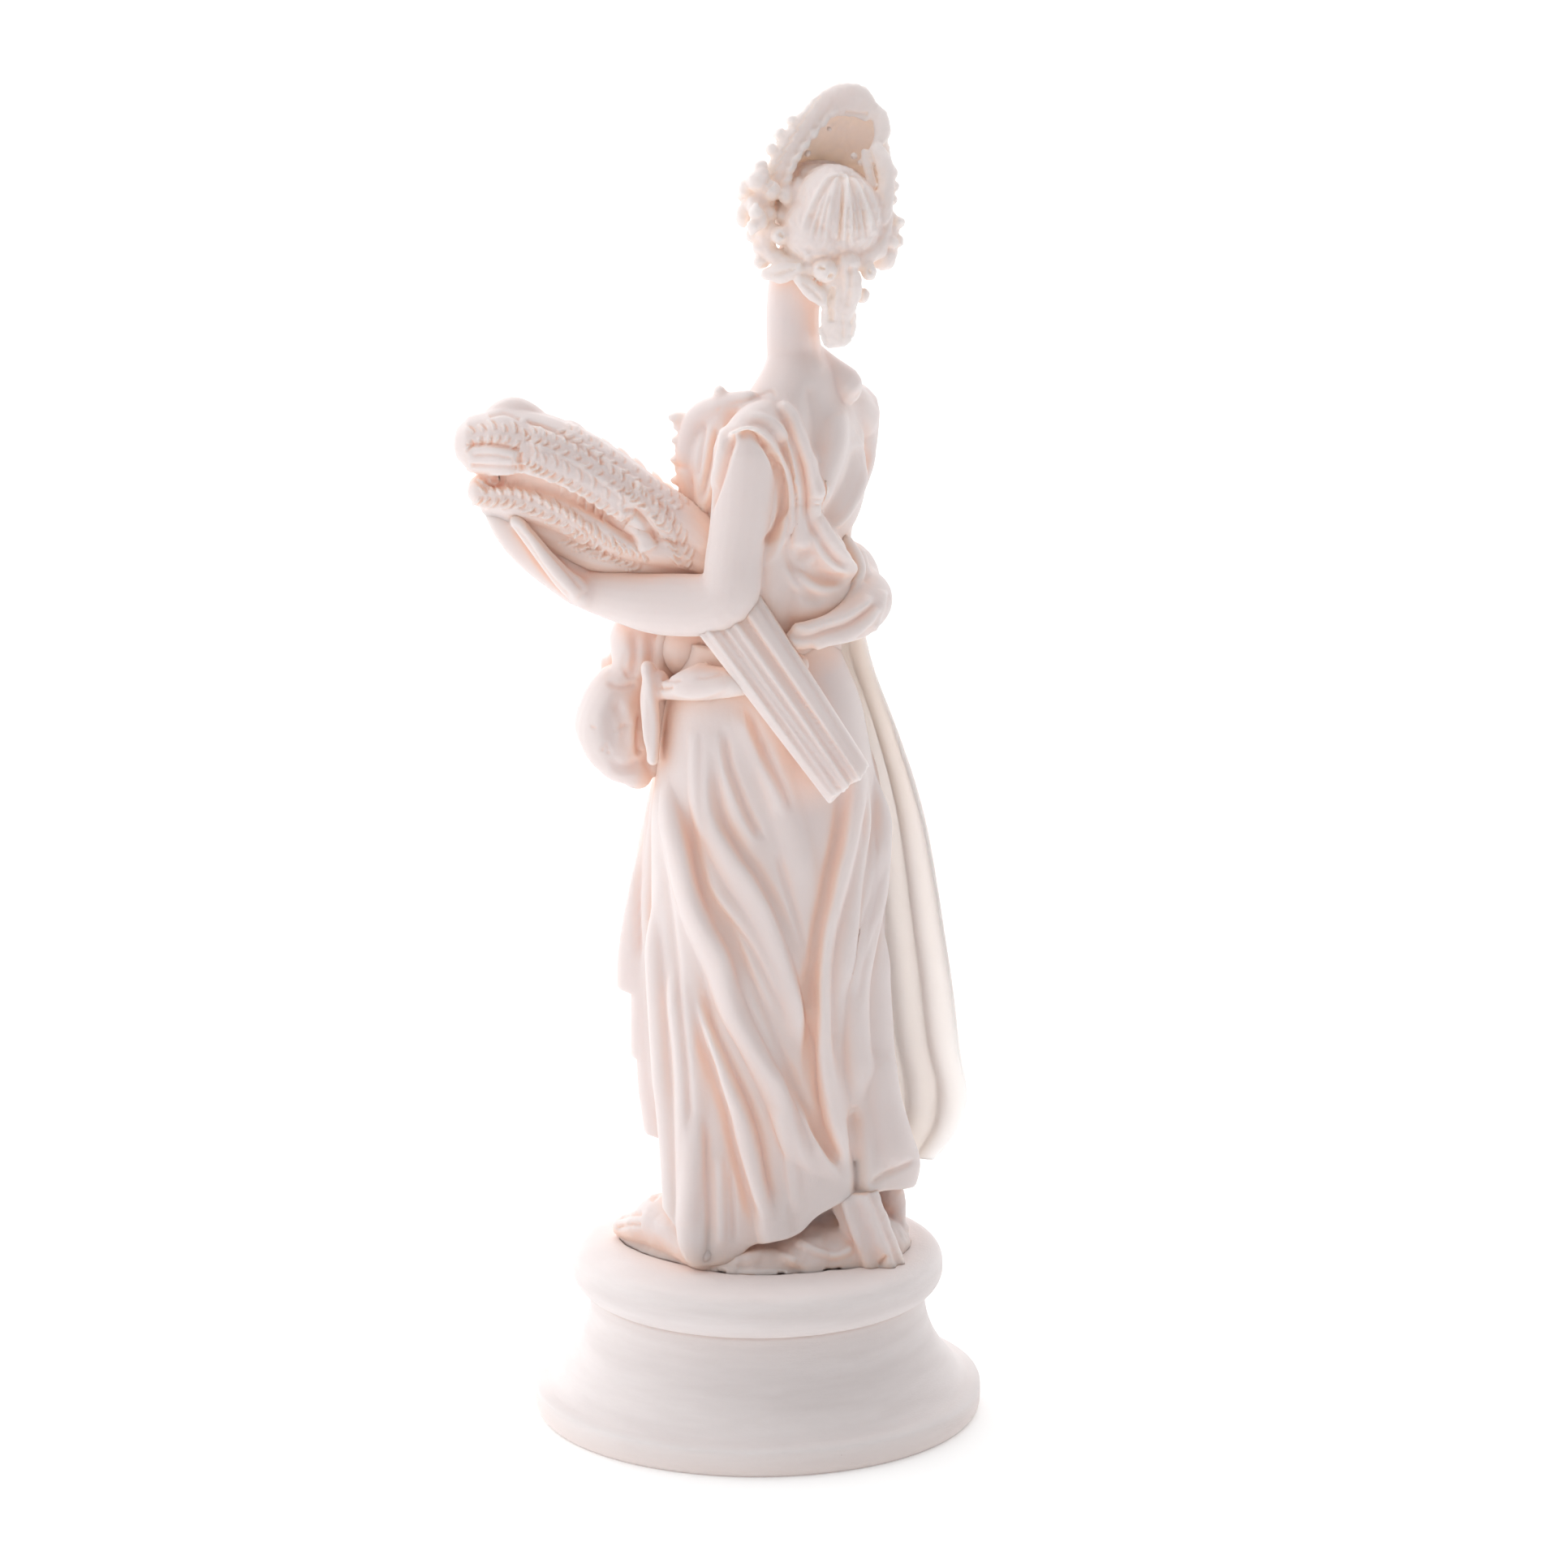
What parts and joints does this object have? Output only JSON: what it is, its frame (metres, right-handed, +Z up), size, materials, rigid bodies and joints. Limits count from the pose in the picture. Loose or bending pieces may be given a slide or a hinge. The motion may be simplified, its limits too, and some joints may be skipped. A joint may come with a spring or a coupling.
{
  "type": "goddess statuette",
  "caption": "Carved alabaster statuette of a draped classical goddess holding a wheat sheaf, on a turned round plinth.",
  "frame": {"origin": "centre of the plinth's underside", "axes": "+Z up through the plinth's turning axis, the goddess faces -Y and her left side is +X"},
  "size_m": [0.0841, 0.0834, 0.2479],
  "materials": {
    "alabaster_figure": "matt, slightly translucent",
    "alabaster_plinth": "matt, lightly tooled"
  },
  "bodies": {
    "root": {"goddess": "alabaster_figure", "plinth": "alabaster_plinth"}
  },
  "joints": []
}
